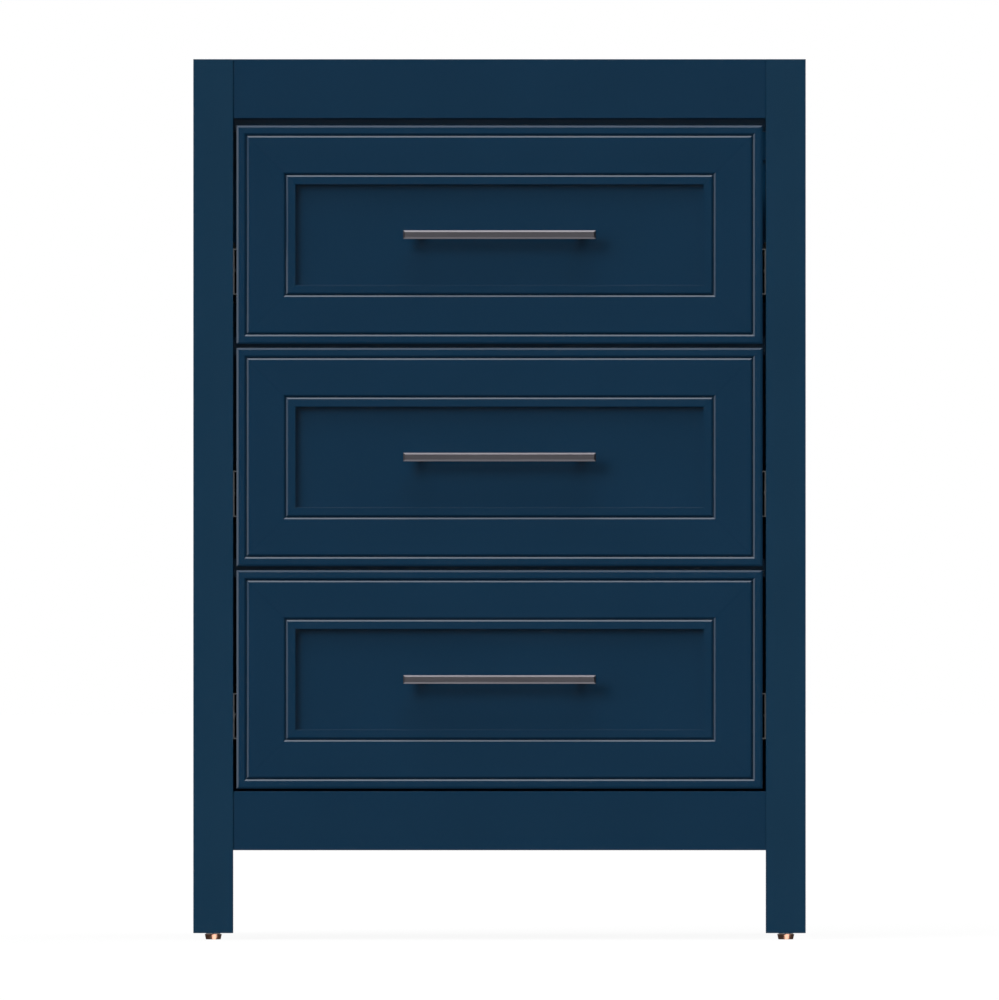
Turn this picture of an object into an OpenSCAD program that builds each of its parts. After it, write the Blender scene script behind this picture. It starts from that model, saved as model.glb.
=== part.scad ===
// Bathroom vanity cabinet with three drawers, standing on four legs.
// The front faces -Y, +Z is up, and the origin is on the floor, under the middle of the
// whole object's box. All sizes are in millimetres.

/* [Cabinet] */
// Width across the legs
cab_w = 609.6; // [580:0.1:760]
// Depth from the front of the legs to the back of the cabinet
cab_d = 533.4; // [530:0.1:600]
// Height from the floor to the top of the legs
cab_h = 876.3; // [840:0.1:920]
// Square section of the front legs
leg_w = 39.5; // [36:0.1:50]
// Square section of the back legs
back_leg_w = 32; // [30:0.5:36]
// Height of the open space under the bottom rails
leg_clear = 88.9; // [60:0.1:110]
// Height of the top and bottom rails
rail_h = 58.7; // [50:0.1:70]
// Thickness of every rail
rail_t = 20; // [18:0.5:22]
// How far the legs stand proud of the rails and drawer fronts
leg_proud = 1.5; // [0.5:0.1:3]
// How far the side rails are set in from the legs' outer faces
side_inset = 3; // [1:0.5:6]
// Length of the rails' tenons
tenon_l = 14; // [8:1:16]
// Thickness of the rails' tenons
tenon_t = 8; // [6:0.5:10]
// Thickness of the side and back panels
panel_t = 6; // [4:0.5:7]
// Depth of the grooves that hold the panels
groove_d = 7; // [4:0.5:8]
// Thickness of the cabinet floor
floor_t = 12; // [9:0.5:15]
// Thickness of the dividers behind the gaps over the drawer fronts
divider_t = 18; // [12:0.5:20]
// Depth of the dividers, front to back
divider_d = 60; // [40:1:80]
// Height of the top back rail, which is screwed to the wall
wall_rail_h = 96; // [70:1:110]

/* [Plumbing cut-out] */
// Width of the opening in the back panel
cut_w = 300; // [200:5:360]
// Height of the opening in the back panel
cut_h = 300; // [150:5:310]
// Height of the opening's lower edge above the floor
cut_z = 440; // [400:5:460]

/* [Drawer fronts] */
// Gap beside each front
gap_side = 3.5; // [2:0.1:4]
// Gap under the bottom front
gap_bottom = 2.6; // [2:0.1:5]
// Gap between two fronts
gap_mid = 3.9; // [2:0.1:5]
// Gap over the top front
gap_top = 7.3; // [2:0.1:8]
// Thickness of the mitred frame
face_t = 19; // [18:0.5:22]
// Width of the frame's rails and stiles
member_w = 58.6; // [56:0.1:65]
// Width of the eased outer edge
ease_w = 2; // [1:0.1:3]
// Depth of the eased outer edge
ease_d = 0.9; // [0.5:0.05:2]
// Distance from the edge to the outer V groove
outer_v = 7.6; // [5:0.1:9]
// Width of the outer V groove
outer_v_w = 4.4; // [3:0.1:6]
// Distance from the edge to the inner V groove
inner_v = 46.8; // [38:0.1:48]
// Width of the inner V groove
inner_v_w = 4.3; // [3:0.1:6]
// Depth of both V grooves
v_d = 1.45; // [0.8:0.05:2.6]
// Width of the fine slot at the bottom of each V groove
slot_w = 1; // [0.4:0.1:1.2]
// Depth of that slot
slot_d = 1.8; // [0.5:0.1:2]
// Depth of the recess in front of the centre panel
recess = 9; // [6:0.5:10]
// Thickness of the centre panel's tongue
tongue_t = 5; // [4:0.5:6]

/* [Bar pulls] */
// Length of the bar
pull_l = 191.6; // [150:0.1:250]
// Height of the bar
pull_h = 8.5; // [8:0.1:12]
// Thickness of the bar, front to back
pull_t = 10; // [8:0.5:12]
// Width of the bar's chamfers
pull_bevel = 1.7; // [1:0.1:3]
// Distance between the posts' centres
pull_cc = 160; // [96:32:160]
// Radius of the posts
post_r = 4.2; // [3.6:0.1:4.5]
// Reach of the pull from the panel it is fixed to
pull_reach = 28.5; // [27:0.5:40]

/* [Drawer boxes] */
// Length of the boxes and the slides
box_l = 450; // [400:10:450]
// Height of the boxes
box_h = 150; // [120:1:160]
// Height of the boxes above the fronts' lower edges
box_z = 22; // [15:1:25]
// Thickness of the boxes' boards
board_t = 15; // [12:0.5:16]
// Thickness of the boxes' bottoms
bottom_t = 6; // [4:0.5:8]
// Height of the bottoms above the boards' lower edges
bottom_up = 10; // [8:1:14]
// Number of tails at each corner
tails = 4; // [3:1:5]
// Width of the gap in the top box that clears the basin's trap
notch_w = 190; // [140:5:220]
// Depth of that gap, from the back of the box
notch_l = 250; // [150:5:270]

/* [Drawer slides] */
// Room that each slide takes beside the box
slide_t = 12.7; // [12.7:0.1:13]
// Height of the slides
slide_h = 45.7; // [45:0.1:46]
// Height of the slides' centres above the boxes' lower edges
slide_up = 50; // [35:1:60]
// Thickness of the slides' steel
steel_t = 1.2; // [1:0.1:1.3]
// Width of the boards between the legs that carry the slides
cleat_h = 60; // [55:1:70]
// Thickness of those boards
cleat_t = 20; // [18:0.5:21]

/* [Levelling feet] */
// Height of foot that shows under each leg
foot_show = 6.35; // [6:0.05:10]
// Height of the pads
pad_h = 5.3; // [5:0.1:5.5]
// Radius of the pads at the top
pad_top_r = 8.5; // [7:0.1:11]
// Radius of the pads on the floor
pad_low_r = 7.35; // [6:0.05:10]
// Radius of the stems
stem_r = 3.175; // [3:0.005:4]
// Length of the stems
stem_l = 44; // [35:1:60]

/* [Hidden] */
$fn = 48;
fit = 0.05;
bite = 0.02;
eps = 1;

// Colours
navy = "#173247";
leg_navy = "#1A354A";
birch = "#D2B588";
ply = "#C7A878";
zinc = "#B4B7BA";
graphite = "#58575C";
copper = "#A07469";
dark_steel = "#4A4B4D";

// Depths: the pulls' front and the cabinet's back are the same distance from the origin
pull_out = pull_reach - recess - leg_proud;
y_back = (cab_d + pull_out) / 2;
y_leg = y_back - cab_d;
y_face = y_leg + leg_proud;
y_rail = y_face + rail_t;
y_leg_rear = y_leg + leg_w;
y_back_leg = y_back - back_leg_w;
wall_rail_t = 18;
y_wall_rail = y_back - wall_rail_t;

// Depths behind a drawer's face
y_box = face_t;
y_box_end = y_box + box_l;
y_slide = y_box + 2;

// Widths
x_leg = cab_w / 2;
x_open = x_leg - leg_w;
x_back_leg = x_leg - back_leg_w;
x_side = x_leg - side_inset;
x_side_in = x_side - rail_t;
front_w = 2 * (x_open - gap_side);
box_w = 2 * (x_open - slide_t);
box_in = box_w / 2 - board_t;

// Heights
z_open = leg_clear + rail_h;
z_top_rail = cab_h - rail_h;
z_wall_rail = cab_h - wall_rail_h;
front_h = (z_top_rail - z_open - gap_bottom - gap_top - 2 * gap_mid) / 3;
floor_drop = 9;
floor_groove = 5;
z_floor = z_open - floor_drop - floor_t;
shoulder = 5;
stub = 10;
stub_inset = 4;

// Corner blocks, with a hole each for the screws that hold the worktop
block_l = 82;
block_t = 18;
block_drop = 2;
block_hole_r = 2.5;
block_hole = 36;

// Holes in the wall rail, at the spacing of wall studs
stud_cc = 406.4;
wall_hole_r = 2.75;

// Screws
screw_r = 2;
head_r = 4;
head_h = 2.2;
slide_head_r = 3.6;
slide_head_h = 1.6;
front_screw_x = 222;
front_screw_zs = [box_z + 25, box_z + box_h - 25];
rail_screw_ys = [9, 150, 400];
inner_screw_ys = [50, 250, 420];

// Slides, measured from the cabinet's side of each slide (s) and from its centre height
ball_gap = 3.25;
outer_reach = 9.8;
lip = 1.4;
mid_s = 3.4;
mid_reach = 10.6;
mid_t = 1;
mid_h2 = slide_h / 2 - steel_t - ball_gap;
inner_s = 5.2;
inner_h2 = mid_h2 - mid_t - ball_gap;
mid_short = 6;
cage_l = 190;
cage_t = 0.8;
ball_r = 1.4;
balls = 5;

// Levelling feet
nut_flange_r = 9.5;
nut_flange_t = 1.6;
nut_r = 4.8;
nut_l = 12;
collar_r = 4.8;
collar_t = 1.1;
collar_z = 1.95;
collar_gap = 0.25;
front_foot = [x_leg - leg_w / 2, y_leg + leg_w / 2, 0];
back_foot = [x_leg - back_leg_w / 2, y_back - back_leg_w / 2, 0];

// Height of a drawer front's lower edge, counted from the bottom drawer
function front_z(level) = z_open + gap_bottom + level * (front_h + gap_mid);

// Height of the middle of the gap over a drawer front
function gap_z(level) =
    level < 2 ? front_z(level + 1) - gap_mid / 2 : z_top_rail - gap_top / 2;

// ---- Helpers ----

module flip_x() {
    mirror([1, 0, 0]) children();
}

module both_sides() {
    children();
    flip_x() children();
}

// A box from one corner to the opposite corner
module span(low, high) {
    translate(low) cube(high - low);
}

// An outline in X and Z, run along Y
module run_y(y0, length) {
    translate([0, y0 + length, 0]) rotate([90, 0, 0]) linear_extrude(length) children();
}

// An outline in Y and Z, run along X about the middle
module run_x(length) {
    translate([-length / 2, 0, 0]) rotate([90, 0, 90]) linear_extrude(length) children();
}

// A rail along X with a tenon on each end, from y = 0 backwards
module tenoned_rail(length, height, thick) {
    tenon_y = (thick - tenon_t) / 2;
    translate([-length / 2, 0, 0]) cube([length, thick, height]);
    translate([-length / 2 - tenon_l, tenon_y, shoulder])
        cube([length + 2 * tenon_l, tenon_t, height - 2 * shoulder]);
}

// A round bar that runs along Y
module bar_y(r, y0, y1) {
    translate([0, y0, 0]) rotate([-90, 0, 0]) cylinder(h = y1 - y0, r = r);
}

// A round bar that runs along X
module bar_x(r, x0, x1) {
    translate([x0, 0, 0]) rotate([0, 90, 0]) cylinder(h = x1 - x0, r = r);
}

// ---- Cabinet ----

module front_rail_at(z0) {
    translate([0, y_face, z0]) tenoned_rail(2 * x_open, rail_h, rail_t);
}

// A side rail on the right, between a front leg and a back leg
module side_rail_at(z0) {
    length = y_back_leg - y_leg_rear;
    translate([x_side, (y_leg_rear + y_back_leg) / 2, z0])
        rotate([0, 0, 90]) tenoned_rail(length, rail_h, rail_t);
}

module back_rail_at(z0, height) {
    translate([0, y_wall_rail, z0]) tenoned_rail(2 * x_back_leg, height, wall_rail_t);
}

module side_panel() {
    x0 = x_side - (rail_t + panel_t) / 2;
    span([x0, y_leg_rear - groove_d, z_open - groove_d],
         [x0 + panel_t, y_back_leg + groove_d, z_top_rail + groove_d]);
}

module back_panel_sheet() {
    y0 = y_wall_rail + (wall_rail_t - panel_t) / 2;
    x1 = x_back_leg + groove_d;
    span([-x1, y0, z_open - groove_d], [x1, y0 + panel_t, z_wall_rail + groove_d]);
}

// The floor lies in grooves in the rails and is notched round the legs
module floor_sheet() {
    x1 = x_side_in + floor_groove;
    z1 = z_floor + floor_t;
    difference() {
        span([-x1, y_rail - floor_groove, z_floor], [x1, y_wall_rail + floor_groove, z1]);
        both_sides() {
            span([x_open, y_face - eps, z_floor - eps], [x_leg, y_leg_rear, z1 + eps]);
            span([x_back_leg, y_back_leg, z_floor - eps], [x_leg, y_back, z1 + eps]);
        }
    }
}

// Dividers close the gaps over the drawer fronts, with a stub tenon in each front leg
module dividers() {
    for (level = [0:2]) {
        z0 = gap_z(level) - divider_t / 2;
        span([-x_open, y_rail, z0], [x_open, y_rail + divider_d, z0 + divider_t]);
        span([-x_open - stub, y_rail + stub_inset, z0 + shoulder],
             [x_open + stub, y_leg_rear - stub_inset, z0 + divider_t - shoulder]);
    }
}

module cleats() {
    for (level = [0:2]) {
        z0 = front_z(level) + box_z + slide_up - cleat_h / 2;
        span([x_open, y_leg_rear, z0], [x_open + cleat_t, y_back_leg, z0 + cleat_h]);
    }
}

module at_slide_screws() {
    for (level = [0:2])
        for (along = rail_screw_ys)
            translate([x_open, y_face + y_slide + along, front_z(level) + box_z + slide_up])
                children();
}

// A pan-head screw from the slide into the wood behind it
module slide_screw() {
    bar_x(screw_r, -steel_t, 15);
    bar_x(slide_head_r, -steel_t - slide_head_h, -steel_t);
}

// The room that a tee nut and the top of a stem need in the foot of a leg
module foot_socket(at) {
    translate(at) {
        translate([0, 0, foot_show]) cylinder(h = nut_flange_t, r = nut_flange_r);
        translate([0, 0, foot_show]) cylinder(h = nut_l, r = nut_r);
        translate([0, 0, foot_show]) cylinder(h = stem_l + 4, r = stem_r + 0.8);
    }
}

module front_leg() {
    difference() {
        span([x_open, y_leg, foot_show], [x_leg, y_leg_rear, cab_h]);
        front_rail_at(leg_clear);
        front_rail_at(z_top_rail);
        side_rail_at(leg_clear);
        side_rail_at(z_top_rail);
        side_panel();
        dividers();
        at_slide_screws() bar_x(screw_r + bite, -eps, 15);
        foot_socket(front_foot);
    }
}

module back_leg() {
    difference() {
        span([x_back_leg, y_back_leg, foot_show], [x_leg, y_back, cab_h]);
        side_rail_at(leg_clear);
        side_rail_at(z_top_rail);
        side_panel();
        back_rail_at(leg_clear, rail_h);
        back_rail_at(z_wall_rail, wall_rail_h);
        back_panel_sheet();
        foot_socket(back_foot);
    }
}

module leg_front_right() { color(leg_navy) front_leg(); }
module leg_front_left() { color(leg_navy) flip_x() front_leg(); }
module leg_back_right() { color(leg_navy) back_leg(); }
module leg_back_left() { color(leg_navy) flip_x() back_leg(); }

module front_top_rail() { color(navy) front_rail_at(z_top_rail); }

module front_bottom_rail() {
    color(navy) difference() {
        front_rail_at(leg_clear);
        floor_sheet();
    }
}

module side_rails() {
    color(navy) both_sides() difference() {
        union() {
            side_rail_at(leg_clear);
            side_rail_at(z_top_rail);
        }
        side_panel();
        floor_sheet();
    }
}

module side_panels() { color(navy) both_sides() side_panel(); }

module back_panel() {
    color(navy) difference() {
        back_panel_sheet();
        span([-cut_w / 2, y_wall_rail, cut_z], [cut_w / 2, y_back, cut_z + cut_h]);
    }
}

module back_rails() {
    color(navy) difference() {
        union() {
            back_rail_at(leg_clear, rail_h);
            back_rail_at(z_wall_rail, wall_rail_h);
        }
        back_panel_sheet();
        floor_sheet();
        both_sides() translate([stud_cc / 2, 0, cab_h - wall_rail_h / 2])
            bar_y(wall_hole_r, y_wall_rail - eps, y_back + eps);
    }
}

module cabinet_floor() { color(navy) floor_sheet(); }

module drawer_dividers() { color(navy) dividers(); }

// One corner block. The corner is where the inner faces of two rails would meet, and the
// leg takes leg_x by leg_y out of it
module corner_block(leg_x, leg_y) {
    difference() {
        linear_extrude(block_t)
            polygon([[leg_x, 0], [block_l, 0], [0, block_l], [0, leg_y], [leg_x, leg_y]]);
        translate([block_hole, block_hole, -eps])
            cylinder(h = block_t + 2 * eps, r = block_hole_r);
    }
}

module corner_blocks() {
    z0 = cab_h - block_drop - block_t;
    color(birch) both_sides() {
        translate([-x_side_in, y_rail, z0])
            corner_block(x_side_in - x_open, y_leg_rear - y_rail);
        translate([-x_side_in, y_wall_rail, z0])
            mirror([0, 1, 0]) corner_block(x_side_in - x_back_leg, y_wall_rail - y_back_leg);
    }
}

module slide_cleats() {
    color(navy) both_sides() difference() {
        cleats();
        at_slide_screws() bar_x(screw_r + bite, -eps, 15);
    }
}

// ---- Levelling feet ----

module tee_nut(at) {
    translate(at) translate([0, 0, foot_show]) difference() {
        union() {
            cylinder(h = nut_flange_t, r = nut_flange_r);
            cylinder(h = nut_l, r = nut_r);
        }
        translate([0, 0, -eps]) cylinder(h = nut_l + 2 * eps, r = stem_r + fit);
    }
}

module tee_nuts() {
    color(zinc) both_sides() {
        tee_nut(front_foot);
        tee_nut(back_foot);
    }
}

// The pad turns on the stem, whose collar is held inside it
module foot_pad(at) {
    translate(at) difference() {
        cylinder(h = pad_h, r1 = pad_low_r, r2 = pad_top_r);
        translate([0, 0, collar_z - collar_gap])
            cylinder(h = collar_t + 2 * collar_gap, r = collar_r + collar_gap);
        translate([0, 0, collar_z]) cylinder(h = pad_h, r = stem_r + fit);
    }
}

module foot_stem(at) {
    translate(at) translate([0, 0, collar_z]) {
        cylinder(h = stem_l, r = stem_r);
        cylinder(h = collar_t, r = collar_r);
    }
}

module foot_pad_front_right() { color(copper) foot_pad(front_foot); }
module foot_pad_front_left() { color(copper) flip_x() foot_pad(front_foot); }
module foot_pad_back_right() { color(copper) foot_pad(back_foot); }
module foot_pad_back_left() { color(copper) flip_x() foot_pad(back_foot); }
module foot_stem_front_right() { color(zinc) foot_stem(front_foot); }
module foot_stem_front_left() { color(zinc) flip_x() foot_stem(front_foot); }
module foot_stem_back_right() { color(zinc) foot_stem(back_foot); }
module foot_stem_back_left() { color(zinc) flip_x() foot_stem(back_foot); }

// ---- Drawer fronts, from the middle of the front's lower edge ----

// A V groove with a fine slot at its bottom: depth behind the face, then distance from
// the edge. The V keeps its slope up to the slot, so it stops short of its full depth
function v_groove(start, width) =
    let (mid = start + width / 2, at_slot = v_d * (1 - slot_w / width))
    [[0, start], [at_slot, mid - slot_w / 2], [at_slot + slot_d, mid - slot_w / 2],
     [at_slot + slot_d, mid + slot_w / 2], [at_slot, mid + slot_w / 2], [0, start + width]];

// The moulded section of the frame: depth behind the face, then distance from the edge
module frame_section() {
    polygon(concat(
        [[face_t, 0], [ease_d, 0], [0, ease_w]],
        v_groove(outer_v, outer_v_w),
        v_groove(inner_v, inner_v_w),
        [[0, member_w], [recess, member_w], [recess, member_w - groove_d],
         [recess + tongue_t, member_w - groove_d], [recess + tongue_t, member_w],
         [face_t, member_w]]
    ));
}

// A length of the frame along X with both ends mitred, its outer edge down
module mitred_member(length) {
    intersection() {
        run_x(length) frame_section();
        translate([0, face_t, 0]) rotate([90, 0, 0]) linear_extrude(face_t)
            polygon([[-length / 2, 0], [length / 2, 0],
                     [length / 2 - member_w, member_w], [member_w - length / 2, member_w]]);
    }
}

module at_front_screws() {
    for (z = front_screw_zs) translate([front_screw_x, 0, z]) children();
}

module front_rails() {
    mitred_member(front_w);
    translate([0, 0, front_h]) mirror([0, 0, 1]) mitred_member(front_w);
}

module front_stiles() {
    both_sides() difference() {
        translate([front_w / 2, 0, front_h / 2]) rotate([0, -90, 0]) mitred_member(front_h);
        at_front_screws() bar_y(screw_r + bite, face_t - 11, face_t + eps);
    }
}

module at_posts() {
    both_sides() translate([pull_cc / 2, 0, front_h / 2]) children();
}

module front_panel() {
    tongue = groove_d - 0.5;
    x1 = front_w / 2 - member_w;
    difference() {
        union() {
            span([-x1, recess, member_w], [x1, face_t, front_h - member_w]);
            span([-x1 - tongue, recess, member_w - tongue],
                 [x1 + tongue, recess + tongue_t, front_h - member_w + tongue]);
        }
        at_posts() bar_y(screw_r + fit, recess - eps, face_t + eps);
    }
}

// The bar has a chamfer along each front edge and across each end
module bar_pull() {
    y0 = recess - pull_reach;
    y1 = y0 + pull_t;
    h2 = pull_h / 2;
    l2 = pull_l / 2;
    difference() {
        union() {
            intersection() {
                translate([0, 0, front_h / 2]) run_x(pull_l)
                    polygon([[y0, pull_bevel - h2], [y0, h2 - pull_bevel],
                             [y0 + pull_bevel, h2], [y1, h2],
                             [y1, -h2], [y0 + pull_bevel, -h2]]);
                translate([0, 0, front_h / 2 - pull_h]) linear_extrude(2 * pull_h)
                    polygon([[pull_bevel - l2, y0], [l2 - pull_bevel, y0],
                             [l2, y0 + pull_bevel], [l2, y1],
                             [-l2, y1], [-l2, y0 + pull_bevel]]);
            }
            at_posts() bar_y(post_r, y1 - eps, recess);
        }
        at_posts() bar_y(screw_r + bite, recess - 12, recess + eps);
    }
}

// ---- Drawer boxes, in the same frame as the fronts ----

// The pins of one dovetailed corner: narrow at the box's outer face, wide inside
module pins(y_outer, y_inner, x0, x1) {
    pitch = box_h / tails;
    translate([x0, 0, box_z]) rotate([90, 0, 90]) linear_extrude(x1 - x0)
        intersection() {
            for (pin = [0:tails]) polygon([
                [y_outer, pin * pitch - 4], [y_inner, pin * pitch - 6],
                [y_inner, pin * pitch + 6], [y_outer, pin * pitch + 4]
            ]);
            translate([min(y_outer, y_inner), 0]) square([board_t, box_h]);
        }
}

module corner_pins() {
    pins(y_box, y_box + board_t, box_in, box_w / 2);
    pins(y_box_end, y_box_end - board_t, box_in, box_w / 2);
}

module bottom_sheet(notched) {
    inset = board_t / 2;
    wall = board_t / 2;
    z0 = box_z + bottom_up;
    difference() {
        span([-box_w / 2 + inset, y_box + inset, z0],
             [box_w / 2 - inset, y_box_end - inset, z0 + bottom_t]);
        if (notched)
            span([-notch_w / 2 - wall, y_box_end - notch_l - wall, z0 - eps],
                 [notch_w / 2 + wall, y_box_end, z0 + bottom_t + eps]);
    }
}

module at_inner_screws() {
    for (along = inner_screw_ys)
        translate([box_w / 2, y_slide + along, box_z + slide_up]) children();
}

module box_sides(notched) {
    both_sides() difference() {
        span([box_in, y_box, box_z], [box_w / 2, y_box_end, box_z + box_h]);
        corner_pins();
        bottom_sheet(notched);
        at_inner_screws() bar_x(screw_r + bite, -12, eps);
    }
}

module box_ends(notched) {
    z1 = box_z + box_h;
    difference() {
        union() {
            span([-box_in, y_box, box_z], [box_in, y_box + board_t, z1]);
            span([-box_in, y_box_end - board_t, box_z], [box_in, y_box_end, z1]);
            both_sides() corner_pins();
        }
        bottom_sheet(notched);
        at_posts() bar_y(screw_r + fit, y_box - eps, y_box + board_t + eps);
        both_sides() at_front_screws() bar_y(screw_r + fit, y_box - eps, y_box + board_t + eps);
        if (notched) notch_walls_space();
    }
}

// The gap with its three walls, which the back end is cut away for
module notch_walls_space() {
    x1 = notch_w / 2 + board_t;
    span([-x1, y_box_end - notch_l - board_t, box_z - eps],
         [x1, y_box_end + eps, box_z + box_h + eps]);
}

module notch_sides() {
    x1 = notch_w / 2;
    both_sides() difference() {
        span([x1, y_box_end - notch_l, box_z], [x1 + board_t, y_box_end, box_z + box_h]);
        bottom_sheet(true);
    }
}

module notch_front() {
    x1 = notch_w / 2 + board_t;
    y1 = y_box_end - notch_l;
    difference() {
        span([-x1, y1 - board_t, box_z], [x1, y1, box_z + box_h]);
        bottom_sheet(true);
    }
}

// ---- Slides: outlines are drawn from the cabinet's side, x being the slide's s ----

// A steel channel with its web at the low side and a lip on each flange
module channel(s0, s1, half_h, thick, lip_in) {
    polygon([
        [s0, -half_h], [s1, -half_h], [s1, -half_h + thick + lip_in],
        [s1 - thick, -half_h + thick + lip_in], [s1 - thick, -half_h + thick],
        [s0 + thick, -half_h + thick], [s0 + thick, half_h - thick],
        [s1 - thick, half_h - thick], [s1 - thick, half_h - thick - lip_in],
        [s1, half_h - thick - lip_in], [s1, half_h], [s0, half_h]
    ]);
}

// Puts an outline beside the box on both sides, running along the slide
module slide_run(y0, length) {
    both_sides() translate([x_open, 0, box_z + slide_up])
        run_y(y0, length) mirror([1, 0]) children();
}

module slide_outer() {
    difference() {
        slide_run(y_slide, box_l) channel(0, outer_reach, slide_h / 2, steel_t, lip);
        both_sides() for (along = rail_screw_ys)
            translate([x_open, y_slide + along, box_z + slide_up])
                bar_x(screw_r + fit, -steel_t - eps, eps);
    }
}

module slide_middle() {
    slide_run(y_slide + mid_short, box_l - 2 * mid_short)
        channel(mid_s, mid_reach, mid_h2, mid_t, lip);
}

module slide_inner() {
    difference() {
        slide_run(y_slide, box_l) translate([slide_t, 0]) mirror([1, 0])
            channel(0, slide_t - inner_s, inner_h2, steel_t, 0);
        both_sides() at_inner_screws() bar_x(screw_r + fit, -eps, steel_t + eps);
    }
}

// A strip of sheet steel with a row of balls pressed through it
module ball_strip(s, y0, height) {
    pitch = cage_l / balls;
    both_sides() translate([x_open - s, y0, box_z + slide_up + height]) {
        translate([-ball_r, 0, -cage_t / 2]) cube([2 * ball_r, cage_l, cage_t]);
        for (ball = [0:balls - 1])
            translate([0, (ball + 0.5) * pitch, 0]) sphere(r = ball_r);
    }
}

// The outer rows sit at the back of the middle member and the inner rows at its front,
// where they stay between the two members over the whole travel
module ball_cages_all() {
    outer_row = mid_h2 + ball_gap / 2;
    inner_row = inner_h2 + ball_gap / 2;
    y_front = y_slide + mid_short + 4;
    y_rear = y_slide + box_l - mid_short - 4 - cage_l;
    for (side = [-1, 1]) {
        ball_strip(6.4, y_rear, side * outer_row);
        ball_strip(7.6, y_front, side * inner_row);
    }
}

// ---- Fixings: two screws for the pull, four for the front, six for the slides ----

module fixings() {
    y1 = y_box + board_t;
    at_posts() {
        bar_y(screw_r, recess - 10, y1);
        bar_y(head_r, y1, y1 + head_h);
    }
    both_sides() at_front_screws() {
        bar_y(screw_r, face_t - 10, y1);
        bar_y(head_r, y1, y1 + head_h);
    }
    both_sides() at_inner_screws() {
        bar_x(screw_r, -11, steel_t);
        bar_x(slide_head_r, steel_t, steel_t + slide_head_h);
    }
}

// Puts a piece at a drawer, counted from the bottom
module at_drawer(level) {
    translate([0, y_face, front_z(level)]) children();
}

module slide_outers() { color(zinc) for (level = [0:2]) at_drawer(level) slide_outer(); }

module slide_screws() { color(dark_steel) both_sides() at_slide_screws() slide_screw(); }

module bottom_front_rails() { color(navy) at_drawer(0) front_rails(); }
module bottom_front_stiles() { color(navy) at_drawer(0) front_stiles(); }
module bottom_front_panel() { color(navy) at_drawer(0) front_panel(); }
module bottom_handle() { color(graphite) at_drawer(0) bar_pull(); }
module bottom_box_sides() { color(birch) at_drawer(0) box_sides(false); }
module bottom_box_ends() { color(birch) at_drawer(0) box_ends(false); }
module bottom_box_bottom() { color(ply) at_drawer(0) bottom_sheet(false); }
module bottom_slide_inners() { color(zinc) at_drawer(0) slide_inner(); }
module bottom_slide_middles() { color(zinc) at_drawer(0) slide_middle(); }
module bottom_ball_cages() { color(dark_steel) at_drawer(0) ball_cages_all(); }
module bottom_fixings() { color(dark_steel) at_drawer(0) fixings(); }

module middle_front_rails() { color(navy) at_drawer(1) front_rails(); }
module middle_front_stiles() { color(navy) at_drawer(1) front_stiles(); }
module middle_front_panel() { color(navy) at_drawer(1) front_panel(); }
module middle_handle() { color(graphite) at_drawer(1) bar_pull(); }
module middle_box_sides() { color(birch) at_drawer(1) box_sides(false); }
module middle_box_ends() { color(birch) at_drawer(1) box_ends(false); }
module middle_box_bottom() { color(ply) at_drawer(1) bottom_sheet(false); }
module middle_slide_inners() { color(zinc) at_drawer(1) slide_inner(); }
module middle_slide_middles() { color(zinc) at_drawer(1) slide_middle(); }
module middle_ball_cages() { color(dark_steel) at_drawer(1) ball_cages_all(); }
module middle_fixings() { color(dark_steel) at_drawer(1) fixings(); }

module top_front_rails() { color(navy) at_drawer(2) front_rails(); }
module top_front_stiles() { color(navy) at_drawer(2) front_stiles(); }
module top_front_panel() { color(navy) at_drawer(2) front_panel(); }
module top_handle() { color(graphite) at_drawer(2) bar_pull(); }
module top_box_sides() { color(birch) at_drawer(2) box_sides(true); }
module top_box_ends() { color(birch) at_drawer(2) box_ends(true); }
module top_notch_sides() { color(birch) at_drawer(2) notch_sides(); }
module top_notch_front() { color(birch) at_drawer(2) notch_front(); }
module top_box_bottom() { color(ply) at_drawer(2) bottom_sheet(true); }
module top_slide_inners() { color(zinc) at_drawer(2) slide_inner(); }
module top_slide_middles() { color(zinc) at_drawer(2) slide_middle(); }
module top_ball_cages() { color(dark_steel) at_drawer(2) ball_cages_all(); }
module top_fixings() { color(dark_steel) at_drawer(2) fixings(); }

leg_front_left();
leg_front_right();
leg_back_left();
leg_back_right();
front_top_rail();
front_bottom_rail();
side_rails();
side_panels();
back_panel();
back_rails();
cabinet_floor();
drawer_dividers();
corner_blocks();
slide_cleats();
slide_outers();
slide_screws();
tee_nuts();
foot_pad_front_left();
foot_pad_front_right();
foot_pad_back_left();
foot_pad_back_right();
foot_stem_front_left();
foot_stem_front_right();
foot_stem_back_left();
foot_stem_back_right();
bottom_front_rails();
bottom_front_stiles();
bottom_front_panel();
bottom_handle();
bottom_box_sides();
bottom_box_ends();
bottom_box_bottom();
bottom_slide_inners();
bottom_slide_middles();
bottom_ball_cages();
bottom_fixings();
middle_front_rails();
middle_front_stiles();
middle_front_panel();
middle_handle();
middle_box_sides();
middle_box_ends();
middle_box_bottom();
middle_slide_inners();
middle_slide_middles();
middle_ball_cages();
middle_fixings();
top_front_rails();
top_front_stiles();
top_front_panel();
top_handle();
top_box_sides();
top_box_ends();
top_notch_sides();
top_notch_front();
top_box_bottom();
top_slide_inners();
top_slide_middles();
top_ball_cages();
top_fixings();
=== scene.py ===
"""Looks of a bathroom vanity cabinet: lacquered case and drawer fronts, birch drawer boxes,
zinc-plated slides, graphite pulls and copper-plated levelling feet, in a plain white studio."""

import math

import bmesh
import bpy
from mathutils import Matrix, Vector


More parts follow.
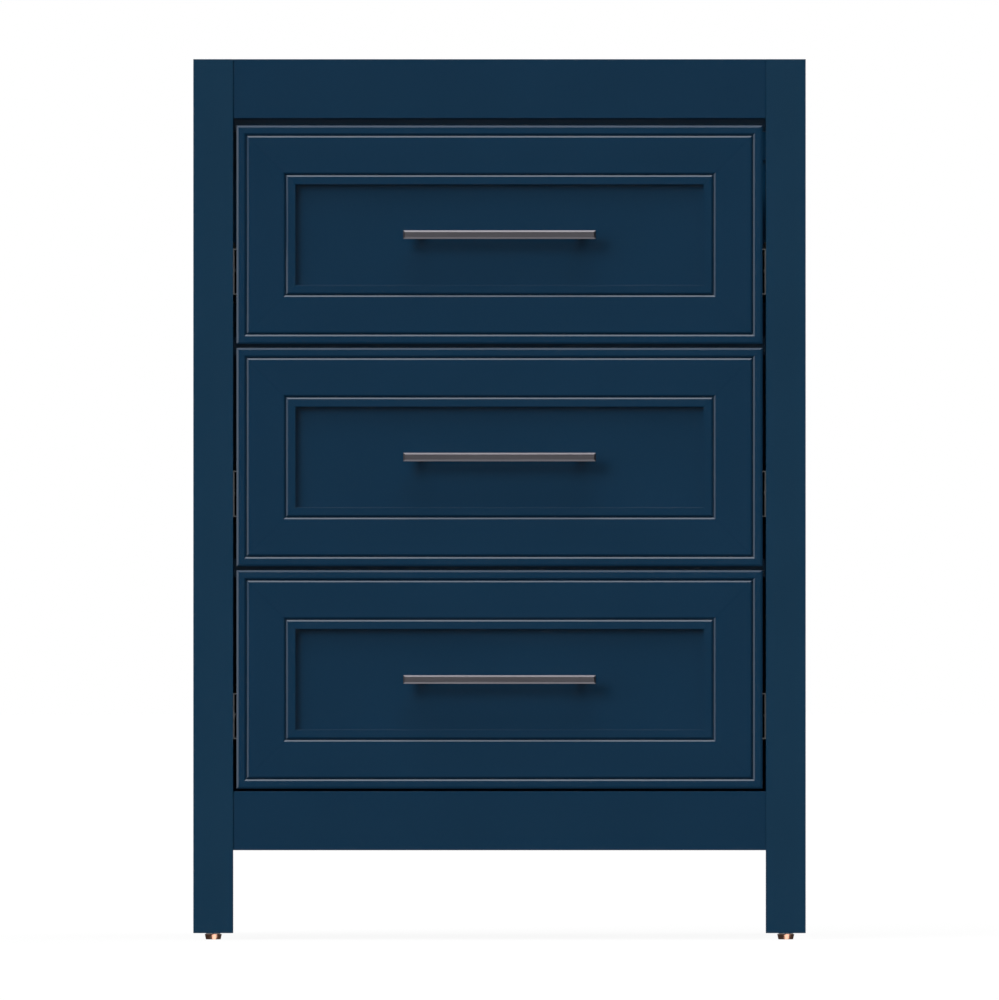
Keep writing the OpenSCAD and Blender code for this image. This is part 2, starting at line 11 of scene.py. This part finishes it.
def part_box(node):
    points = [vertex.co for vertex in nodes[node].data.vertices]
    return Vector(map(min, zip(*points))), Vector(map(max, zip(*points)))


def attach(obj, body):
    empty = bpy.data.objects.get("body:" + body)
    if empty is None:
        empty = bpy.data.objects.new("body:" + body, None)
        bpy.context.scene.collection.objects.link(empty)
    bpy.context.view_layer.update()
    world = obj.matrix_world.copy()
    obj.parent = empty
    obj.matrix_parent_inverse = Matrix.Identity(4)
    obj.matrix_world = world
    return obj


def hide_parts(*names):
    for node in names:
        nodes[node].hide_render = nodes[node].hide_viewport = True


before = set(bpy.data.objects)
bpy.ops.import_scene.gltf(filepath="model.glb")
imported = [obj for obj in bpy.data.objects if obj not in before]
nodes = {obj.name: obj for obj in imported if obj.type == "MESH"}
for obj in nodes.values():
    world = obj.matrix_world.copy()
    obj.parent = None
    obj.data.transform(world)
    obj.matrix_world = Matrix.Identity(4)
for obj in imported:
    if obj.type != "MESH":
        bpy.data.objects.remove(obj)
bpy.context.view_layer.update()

MM = 0.001
DRAWERS = ("bottom", "middle", "top")


# ---- Small tools -------------------------------------------------------------------------

def linear(hex_colour):
    """An sRGB hex colour as linear red, green, blue and alpha."""
    parts = [int(hex_colour[i:i + 2], 16) / 255 for i in (1, 3, 5)]
    return [c / 12.92 if c <= 0.04045 else ((c + 0.055) / 1.055) ** 2.4 for c in parts] + [1.0]


def add(tree, kind, values=None, links=None, stops=None, **settings):
    """Adds one node: its settings, its colour stops, then its inputs' values and links."""
    made = tree.nodes.new("ShaderNode" + kind)
    for name, value in settings.items():
        setattr(made, name, value)
    if stops:
        ramp = made.color_ramp.elements
        while len(ramp) < len(stops):
            ramp.new(0.5)
        for element, (place, colour) in zip(ramp, stops):
            element.position = place
            element.color = colour if hasattr(colour, "__len__") else [colour] * 3 + [1]
    for key, value in (values or {}).items():
        made.inputs[key].default_value = value
    for key, source in (links or {}).items():
        tree.links.new(source, made.inputs[key])
    return made


def new_material(name):
    """An empty material with its output node."""
    material = bpy.data.materials.new(name)
    material.use_nodes = True
    tree = material.node_tree
    tree.nodes.clear()
    return material, tree, tree.nodes.new("ShaderNodeOutputMaterial")


def per_metre(millimetres):
    """The texture scale whose pattern repeats about once in that many millimetres."""
    return 1000.0 / millimetres


# ---- Materials ---------------------------------------------------------------------------

def navy_lacquer(name, hex_colour):
    """Satin navy lacquer, sprayed on sanded maple. The spray leaves a very slight orange peel,
    a sheen that varies a little over a hand's breadth, and the maple's grain barely shows."""
    material, tree, output = new_material(name)
    place = add(tree, "TexCoord").outputs["Object"]
    peel = add(tree, "TexNoise", {"Scale": per_metre(3.0), "Detail": 2.0}, {"Vector": place})
    cloud = add(tree, "TexNoise", {"Scale": per_metre(90.0), "Detail": 3.0}, {"Vector": place})
    tone = add(tree, "ValToRGB", links={"Fac": cloud.outputs["Fac"]},
               stops=[(0.3, [c * 0.97 for c in linear(hex_colour)[:3]] + [1]),
                      (0.7, [c * 1.03 for c in linear(hex_colour)[:3]] + [1])])
    sheen = add(tree, "MapRange", {"To Min": 0.19, "To Max": 0.22},
                {"Value": cloud.outputs["Fac"]})
    bump = add(tree, "Bump", {"Strength": 0.03, "Distance": 0.0002},
               {"Height": peel.outputs["Fac"]})
    shader = add(tree, "BsdfPrincipled", {"IOR": 1.5},
                 {"Base Color": tone.outputs["Color"], "Roughness": sheen.outputs["Result"],
                  "Normal": bump.outputs["Normal"]})
    tree.links.new(shader.outputs["BSDF"], output.inputs["Surface"])
    return material


def birch(name, grain_axis):
    """Birch boards under clear satin lacquer, planed along the grain: pale, with soft growth
    bands along the board, short fine pores, and darker end grain where the board is cut."""
    material, tree, output = new_material(name)
    coordinates = add(tree, "TexCoord")
    place = coordinates.outputs["Object"]
    stretch = [1.0, 1.0, 1.0]
    stretch["xyz".index(grain_axis)] = 0.05
    along = add(tree, "Mapping", {"Scale": stretch}, {"Vector": place})
    warp = add(tree, "TexNoise", {"Scale": per_metre(60.0), "Detail": 3.0, "Roughness": 0.5},
               {"Vector": along.outputs["Vector"]})
    rings = add(tree, "Math", {1: 9.0}, {0: warp.outputs["Fac"]}, operation="MULTIPLY")
    band = add(tree, "Math", links={0: rings.outputs["Value"]}, operation="FRACT")
    # Real pores are 0.1 mm wide, so they are drawn 0.6 mm wide to show at all
    pores = add(tree, "TexNoise", {"Scale": per_metre(0.6), "Detail": 3.0, "Roughness": 0.6},
                {"Vector": along.outputs["Vector"]})
    wood = add(tree, "ValToRGB", links={"Fac": band.outputs["Value"]},
               stops=[(0.0, linear("#DFC7A0")), (0.75, linear("#D7BC93")),
                      (0.95, linear("#C8A97D")), (1.0, linear("#DFC7A0"))])
    pore_shade = add(tree, "MapRange", {"From Min": 0.35, "From Max": 0.6, "To Min": 0.86,
                                        "To Max": 1.0}, {"Value": pores.outputs["Fac"]})
    faces = add(tree, "SeparateXYZ", links={"Vector": coordinates.outputs["Normal"]})
    toward = add(tree, "Math", links={0: faces.outputs[grain_axis.upper()]},
                 operation="ABSOLUTE")
    end_shade = add(tree, "MapRange", {"From Min": 0.6, "From Max": 0.9, "To Min": 1.0,
                                       "To Max": 0.72}, {"Value": toward.outputs["Value"]})
    shade = add(tree, "Math", links={0: pore_shade.outputs["Result"],
                                     1: end_shade.outputs["Result"]}, operation="MULTIPLY")
    colour = add(tree, "VectorMath", links={0: wood.outputs["Color"],
                                            "Scale": shade.outputs["Value"]},
                 operation="SCALE")
    sheen = add(tree, "MapRange", {"To Min": 0.5, "To Max": 0.38},
                {"Value": pores.outputs["Fac"]})
    bump = add(tree, "Bump", {"Strength": 0.15, "Distance": 0.0001},
               {"Height": pores.outputs["Fac"]})
    shader = add(tree, "BsdfPrincipled", {"IOR": 1.5},
                 {"Base Color": colour.outputs["Vector"], "Roughness": sheen.outputs["Result"],
                  "Normal": bump.outputs["Normal"]})
    tree.links.new(shader.outputs["BSDF"], output.inputs["Surface"])
    return material


def metal(name, hex_colour, roughness, streak_axis, streak_mm):
    """Plated steel with fine streaks along one axis, left by rolling or brushing."""
    material, tree, output = new_material(name)
    place = add(tree, "TexCoord").outputs["Object"]
    stretch = [1.0, 1.0, 1.0]
    stretch["xyz".index(streak_axis)] = 0.02
    along = add(tree, "Mapping", {"Scale": stretch}, {"Vector": place})
    streaks = add(tree, "TexNoise", {"Scale": per_metre(streak_mm), "Detail": 3.0},
                  {"Vector": along.outputs["Vector"]})
    sheen = add(tree, "MapRange", {"To Min": roughness - 0.08, "To Max": roughness + 0.08},
                {"Value": streaks.outputs["Fac"]})
    bump = add(tree, "Bump", {"Strength": 0.1, "Distance": 0.00005},
               {"Height": streaks.outputs["Fac"]})
    shader = add(tree, "BsdfPrincipled", {"Metallic": 1.0, "Base Color": linear(hex_colour)},
                 {"Roughness": sheen.outputs["Result"], "Normal": bump.outputs["Normal"]})
    tree.links.new(shader.outputs["BSDF"], output.inputs["Surface"])
    return material


leg_paint = navy_lacquer("leg_lacquer", "#0F334B")
case_paint = navy_lacquer("case_lacquer", "#0B2F48")
birch_x = birch("birch_along_x", "x")
birch_y = birch("birch_along_y", "y")
slide_zinc = metal("zinc_plated_slide_steel", "#C9CCCF", 0.32, "y", 1.5)
screw_zinc = metal("zinc_plated_screw_steel", "#A9ABAD", 0.3, "x", 1.0)
pull_graphite = metal("brushed_graphite_pull", "#6E6C71", 0.42, "x", 0.8)
foot_copper = metal("copper_plated_foot", "#E8AE94", 0.3, "z", 1.0)


def pick_material(name):
    """The finish of a CAD node."""
    if name.startswith("leg_"):
        return leg_paint
    if name.startswith("foot_pad"):
        return foot_copper
    if name.endswith("handle"):
        return pull_graphite
    if name.startswith("foot_stem") or name == "tee_nuts":
        return slide_zinc
    if "cages" in name or name.endswith("fixings") or name == "slide_screws":
        return screw_zinc
    if "slide_outers" in name or "slide_middles" in name or "slide_inners" in name:
        return slide_zinc
    if name.endswith(("box_sides", "notch_sides")):
        return birch_y
    if name.endswith(("box_ends", "notch_front", "box_bottom", "corner_blocks")):
        return birch_x
    return case_paint


for name, obj in nodes.items():
    obj.data.materials.clear()
    obj.data.materials.append(pick_material(name))


# ---- Eased edges -------------------------------------------------------------------------

# Nodes with screw holes in their broad faces
DRILLED = ("back_rails", "box_ends", "corner_blocks", "slide_outers")
EASE_STEPS = 2
SHARP = math.radians(25)
FLAT = math.radians(1)


def ease_edges(name, width_mm):
    """Rounds a node's sharp edges, as sanding or plating does."""
    obj = nodes[name]
    weld = obj.modifiers.new("weld", "WELD")
    weld.merge_threshold = 0.01 * MM
    if name.endswith(DRILLED):
        # Joins the thin triangles between holes, so that the faces there stay flat
        join = obj.modifiers.new("join_flat_faces", "DECIMATE")
        join.decimate_type = "DISSOLVE"
        join.angle_limit = FLAT
    bevel = obj.modifiers.new("ease", "BEVEL")
    bevel.width = width_mm * MM
    bevel.segments = EASE_STEPS
    bevel.limit_method = "ANGLE"
    bevel.angle_limit = SHARP
    bevel.harden_normals = True
    if name.endswith(DRILLED):
        flatten = obj.modifiers.new("shade_flat_faces", "WEIGHTED_NORMAL")
        flatten.mode = "FACE_AREA"
        flatten.weight = 100


def eased_width(name):
    """How wide a node's eased edges are, in millimetres, or nothing where they stay sharp."""
    if name.endswith(("front_rails", "front_stiles")):
        return 0.18
    if name.startswith("leg_") or name.endswith(("rail", "rails", "dividers", "cleats")):
        return 0.5
    if name.endswith(("box_sides", "box_ends", "notch_sides", "notch_front", "corner_blocks")):
        return 0.6
    if "slide_outers" in name or "slide_middles" in name or "slide_inners" in name:
        return 0.2
    if name.endswith("handle"):
        return 0.3
    if name.startswith("foot_pad"):
        return 0.35
    return None


for name in nodes:
    if eased_width(name):
        ease_edges(name, eased_width(name))


# ---- Screws ------------------------------------------------------------------------------

SHANK_R = 2.0 * MM
THREAD_STEP = 1.8 * MM
THREAD_DEPTH = 0.45 * MM
TIP = 4.0 * MM
TIP_R = 0.15 * MM
FRONT_HEAD_H = 2.2 * MM
SLIDE_HEAD_H = 1.6 * MM
AROUND = 28
# Each screw stops at its own angle: steps of the golden angle never line up
GOLDEN_ANGLE = 2.39996


def solid_boxes(name):
    """The lowest and highest corner of each separate solid in a CAD node."""
    shape = bmesh.new()
    shape.from_mesh(nodes[name].data)
    bmesh.ops.remove_doubles(shape, verts=shape.verts, dist=0.001 * MM)
    waiting = set(shape.verts)
    boxes = []
    while waiting:
        ahead = [next(iter(waiting))]
        waiting.discard(ahead[0])
        corners = []
        while ahead:
            vertex = ahead.pop()
            corners.append(vertex.co.copy())
            for edge in vertex.link_edges:
                other = edge.other_vert(vertex)
                if other in waiting:
                    waiting.discard(other)
                    ahead.append(other)
        boxes.append((Vector(map(min, zip(*corners))), Vector(map(max, zip(*corners)))))
    shape.free()
    return sorted(boxes, key=lambda box: [round(v, 4) for v in box[0]])


def turned(profile):
    """A closed mesh turned about Z from (radius, height) points that start and end at 0."""
    shape = bmesh.new()
    rings = []
    for radius, height in profile[1:-1]:
        rings.append([shape.verts.new((radius * math.cos(2 * math.pi * i / AROUND),
                                       radius * math.sin(2 * math.pi * i / AROUND), height))
                      for i in range(AROUND)])
    for upper, lower in zip(rings, rings[1:]):
        for i in range(AROUND):
            j = (i + 1) % AROUND
            shape.faces.new((upper[i], lower[i], lower[j], upper[j]))
    ends = ((rings[0], profile[0], False), (rings[-1], profile[-1], True))
    for ring, (_, height), flip in ends:
        middle = shape.verts.new((0, 0, height))
        for i in range(AROUND):
            j = (i + 1) % AROUND
            shape.faces.new((middle, ring[j], ring[i]) if flip else (middle, ring[i], ring[j]))
    mesh = bpy.data.meshes.new("turned")
    shape.to_mesh(mesh)
    shape.free()
    return mesh


def cross_bit(reach, half_width, depth):
    """The tapered cross that the driver's bit leaves in a screw's head."""
    outline = []
    for quarter in range(4):
        turn = Matrix.Rotation(quarter * math.pi / 2, 2)
        for point in ((half_width, half_width), (reach, half_width), (reach, -half_width)):
            outline.append(turn @ Vector(point))
    shape = bmesh.new()
    levels = []
    for height, scale in ((0.2 * depth, 1.0), (-depth, 0.5)):
        levels.append([shape.verts.new((x * scale, y * scale, height)) for x, y in outline])
    for i in range(12):
        j = (i + 1) % 12
        shape.faces.new((levels[0][i], levels[0][j], levels[1][j], levels[1][i]))
    shape.faces.new(levels[0])
    shape.faces.new(levels[1][::-1])
    bmesh.ops.recalc_face_normals(shape, faces=shape.faces)
    mesh = bpy.data.meshes.new("cross_bit")
    shape.to_mesh(mesh)
    shape.free()
    return mesh


def pan_head_screw(head_r, head_h, length):
    """A pan-head wood screw with a cross recess and a thread of rings. The top of the head is
    at 0 and the point is at -length."""
    profile = [(0, 0)] + [(head_r * math.sin(t), -0.6 * head_h * (1 - math.cos(t)))
                          for t in (0.35, 0.7, 1.0, 1.25, 1.45)]
    profile += [(head_r, -0.75 * head_h), (head_r, -0.95 * head_h),
                (0.95 * head_r, -head_h), (SHANK_R, -head_h)]
    down = head_h + 2 * MM
    while down < length - TIP:
        profile += [(SHANK_R, -down), (SHANK_R - THREAD_DEPTH, -down - 0.5 * THREAD_STEP)]
        down += THREAD_STEP
    profile += [(SHANK_R * 0.8, -(length - 0.7 * TIP)), (TIP_R, -(length - 0.05 * TIP)),
                (0, -length)]
    blank = bpy.data.objects.new("blank", turned(profile))
    bit = bpy.data.objects.new("bit", cross_bit(0.58 * head_r, 0.13 * head_r, 0.72 * head_h))
    for obj in (blank, bit):
        bpy.context.scene.collection.objects.link(obj)
    cut = blank.modifiers.new("cut", "BOOLEAN")
    cut.object = bit
    cut.solver = "MANIFOLD"
    depsgraph = bpy.context.evaluated_depsgraph_get()
    mesh = bpy.data.meshes.new_from_object(blank.evaluated_get(depsgraph))
    for obj in (blank, bit):
        bpy.data.objects.remove(obj)
    return mesh


def screws(name, body, heads_inward=False):
    """Shaped screws in place of a CAD node's plain ones. Those along Y hold a front, with
    their heads to the back. Those along X hold a slide, with their heads to the outside, or
    to the inside where heads_inward says so."""
    joined = bmesh.new()
    masters = {}
    for index, (low, high) in enumerate(solid_boxes(name)):
        size = high - low
        if size.y > size.x:
            toward, axis, head_h = Vector((0, 1, 0)), 1, FRONT_HEAD_H
        else:
            toward, axis, head_h = Vector((1, 0, 0)), 0, SLIDE_HEAD_H
            if (low.x < 0) != heads_inward:
                toward = -toward
        length = size[axis]
        head_r = size.z / 2
        kind = (round(head_r, 5), round(head_h, 5), round(length, 5))
        if kind not in masters:
            masters[kind] = pan_head_screw(head_r, head_h, length)
        middle = (low + high) / 2
        middle[axis] = high[axis] if toward[axis] > 0 else low[axis]
        place = Matrix.Translation(middle) @ toward.to_track_quat("Z", "Y").to_matrix().to_4x4()
        place = place @ Matrix.Rotation(index * GOLDEN_ANGLE, 4, "Z")
        copy = masters[kind].copy()
        copy.transform(place)
        joined.from_mesh(copy)
    mesh = bpy.data.meshes.new(name + "_shaped")
    joined.to_mesh(mesh)
    joined.free()
    mesh.materials.append(screw_zinc)
    piece = bpy.data.objects.new(name + "_shaped", mesh)
    bpy.context.scene.collection.objects.link(piece)
    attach(piece, body)
    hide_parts(name)
    return piece


shaped_screws = [screws("slide_screws", "cabinet", heads_inward=True)]
for drawer in DRAWERS:
    shaped_screws.append(screws(drawer + "_fixings", drawer + "_drawer"))


# ---- Studio ------------------------------------------------------------------------------

def floor_plane():
    """A white paper floor that glows a little, so its shadows stay faint. It throws no light
    back, so the mouldings' undersides stay dark."""
    mesh = bpy.data.meshes.new("floor")
    reach = 40.0
    mesh.from_pydata([(-reach, -reach, 0), (reach, -reach, 0), (reach, reach, 0),
                      (-reach, reach, 0)], [], [(0, 1, 2, 3)])
    floor = bpy.data.objects.new("floor", mesh)
    bpy.context.scene.collection.objects.link(floor)
    material, tree, output = new_material("floor_paper")
    paper = add(tree, "BsdfDiffuse", {"Color": [0.92, 0.92, 0.92, 1.0]})
    glow = add(tree, "Emission", {"Color": [1.0, 1.0, 1.0, 1.0], "Strength": 1.0})
    shader = add(tree, "MixShader", {0: 0.93}, {1: paper.outputs["BSDF"],
                                               2: glow.outputs["Emission"]})
    tree.links.new(shader.outputs["Shader"], output.inputs["Surface"])
    mesh.materials.append(material)
    floor.visible_glossy = False
    floor.visible_diffuse = False
    floor.visible_shadow = False
    floor.location.z = -0.0002


def sun(name, toward, strength, spread, only=(), never=(), shines=True):
    """A distant soft light. toward is the direction from the object to the light, strength is
    watts a square metre and spread is the disc's angle in degrees. It lights only these
    objects, or never those, and shines says whether it shows in reflections."""
    data = bpy.data.lights.new(name, "SUN")
    data.energy = strength
    data.angle = math.radians(spread)
    light = bpy.data.objects.new(name, data)
    light.rotation_mode = "QUATERNION"
    light.rotation_quaternion = Vector(toward).to_track_quat("Z", "Y")
    light.visible_glossy = shines
    bpy.context.scene.collection.objects.link(light)
    if only or never:
        chosen = bpy.data.collections.new(name + "_chooses")
        for obj in only or never:
            chosen.objects.link(obj)
        for entry in chosen.collection_objects:
            entry.light_linking.link_state = "INCLUDE" if only else "EXCLUDE"
        light.light_linking.receiver_collection = chosen


def studio_world():
    """White behind the object, and a dim even light from all round it."""
    world = bpy.data.worlds.new("studio")
    bpy.context.scene.world = world
    world.use_nodes = True
    tree = world.node_tree
    tree.nodes.clear()
    seen = add(tree, "LightPath").outputs["Is Camera Ray"]
    dim = add(tree, "Background", {"Color": [1, 1, 1, 1], "Strength": 0.055})
    white = add(tree, "Background", {"Color": [1, 1, 1, 1], "Strength": 1.0})
    both = add(tree, "MixShader", links={0: seen, 1: dim.outputs["Background"],
                                         2: white.outputs["Background"]})
    output = tree.nodes.new("ShaderNodeOutputWorld")
    tree.links.new(both.outputs["Shader"], output.inputs["Surface"])


def front_camera():
    """Square on to the front through a very long lens, so that there is no perspective."""
    lens, sensor = 1400.0, 36.0
    span, eye_height = 0.9954, 0.4375
    data = bpy.data.cameras.new("camera")
    data.lens = lens
    data.sensor_width = sensor
    distance = span * lens / sensor
    data.clip_start, data.clip_end = 1.0, 90.0
    camera = bpy.data.objects.new("camera", data)
    face_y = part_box("leg_front_left")[0].y
    camera.location = (0, face_y - distance, eye_height)
    camera.rotation_euler = (math.radians(90), 0, 0)
    bpy.context.scene.collection.objects.link(camera)
    bpy.context.scene.camera = camera


floor_plane()
studio_world()
pulls = [nodes[name] for name in nodes if name.endswith("handle")]
pads = [nodes[name] for name in nodes if name.startswith("foot_pad")]
steel = [nodes[name] for name in nodes if pick_material(name) in (slide_zinc, screw_zinc)]
steel += shaped_screws
KEY = (-0.42, -0.80, 0.43)
# The cards light only the metal, and the key doesn't show in the lacquer
sun("key", KEY, 1.75, 30, never=steel, shines=False)
sun("key_on_metal", KEY, 1.75, 30, only=pulls + pads)
sun("front_fill", (0.0, -1.0, 0.05), 0.35, 12, shines=False)
sun("overhead", (0.0, -0.27, 1.0), 2.4, 52, never=steel)
sun("left", (-0.8, -0.6, 0.1), 0.56, 35, never=pads + steel)
sun("back", (0.7, 0.6, 0.45), 1.6, 60, never=steel, shines=False)
sun("card_under_pulls", (0.0, -0.3, -1.0), 1.4, 60, only=pulls)
sun("card_before_feet", (0.3, -1.0, -0.45), 1.5, 60, only=pads)
sun("card_over_slides", (0.0, -0.3, 1.0), 1.2, 150, only=steel)
sun("card_right_of_slides", (1.0, 0.2, -0.1), 1.5, 150, only=steel)
sun("card_left_of_slides", (-1.0, 0.2, -0.1), 1.5, 150, only=steel)
bpy.context.scene.view_settings.view_transform = "Standard"
front_camera()
